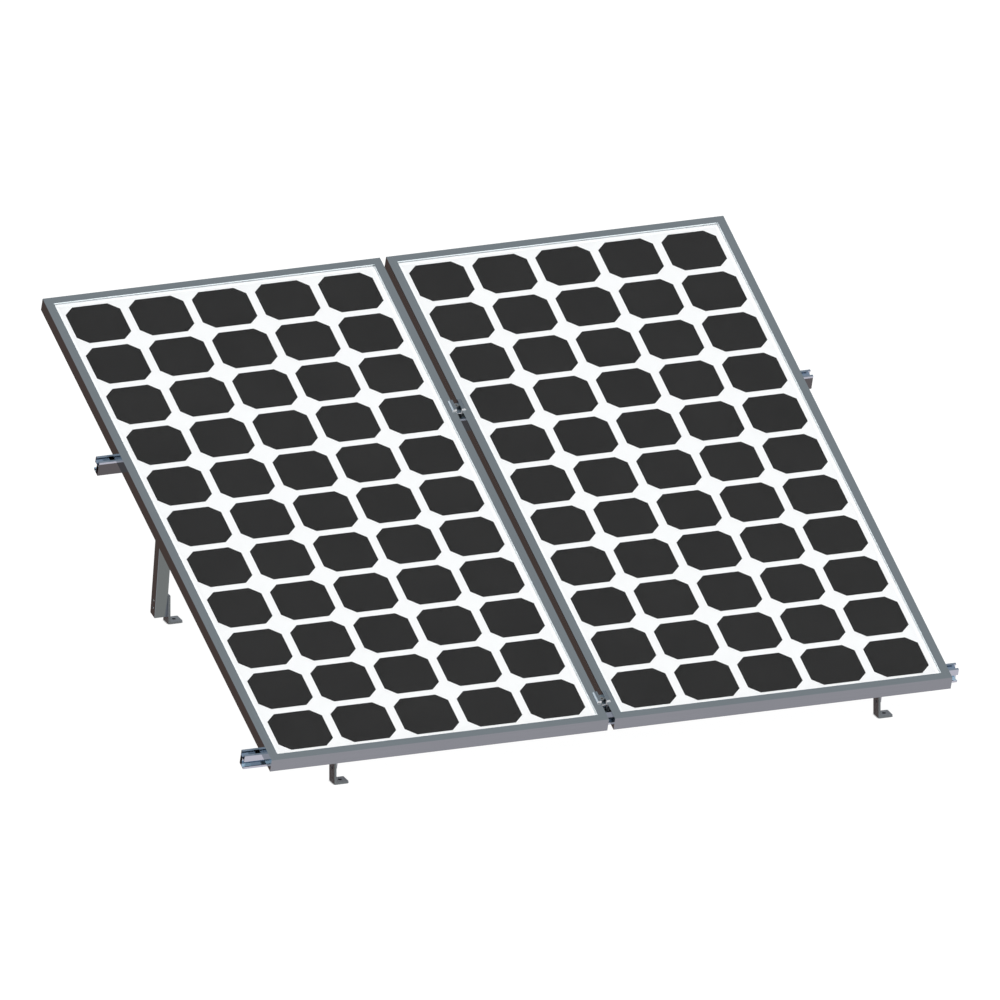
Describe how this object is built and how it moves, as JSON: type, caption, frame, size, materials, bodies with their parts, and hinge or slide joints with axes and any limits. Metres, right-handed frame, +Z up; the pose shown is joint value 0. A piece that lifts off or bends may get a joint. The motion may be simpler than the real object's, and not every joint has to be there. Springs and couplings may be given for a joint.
{
  "type": "solar panel mounting rack",
  "caption": "Tilted aluminium rack on L-feet and rear legs, with framed solar panels clamped side by side on its slotted rails.",
  "frame": {"origin": "middle of the outer size, on the ground under the feet", "axes": "+X along the rails, +Y from the low front edge of the panels to the high back edge, +Z up"},
  "size_m": [2.1, 1.9108, 0.8213],
  "materials": {
    "frame": "satin",
    "key": "satin",
    "seal": "matte",
    "glass": "clear",
    "cell": "satin",
    "sheet": "matte",
    "box": "matte",
    "terminal": "satin",
    "rail": "satin",
    "clamp": "satin",
    "connector": "satin",
    "foot": "satin",
    "leg": "satin",
    "steel": "satin"
  },
  "bodies": {
    "root": {"left_frame_front": "frame", "left_frame_back": "frame", "left_frame_left": "frame", "left_frame_right": "frame", "left_corner_keys": "key", "left_seal": "seal", "left_glass": "glass", "left_cells": "cell", "left_backsheet": "sheet", "left_junction_box": "box", "left_junction_board": "terminal", "left_junction_lid": "box", "right_frame_front": "frame", "right_frame_back": "frame", "right_frame_left": "frame", "right_frame_right": "frame", "right_corner_keys": "key", "right_seal": "seal", "right_glass": "glass", "right_cells": "cell", "right_backsheet": "sheet", "right_junction_box": "box", "right_junction_board": "terminal", "right_junction_lid": "box", "rail_lower": "rail", "rail_upper": "rail", "clamp_lower": "clamp", "clamp_upper": "clamp", "clamp_bolts": "steel", "channel_nuts": "steel", "connector_front_left": "connector", "connector_front_right": "connector", "connector_rear_left": "connector", "connector_rear_right": "connector", "slot_bolts": "steel", "slot_nuts": "steel", "foot_front_left": "foot", "foot_front_right": "foot", "foot_rear_left": "foot", "foot_rear_right": "foot", "leg_left": "leg", "leg_right": "leg", "joint_screws": "steel", "joint_washers": "steel", "joint_nuts": "steel", "frame_bolts": "steel", "frame_nuts": "steel"}
  },
  "joints": []
}
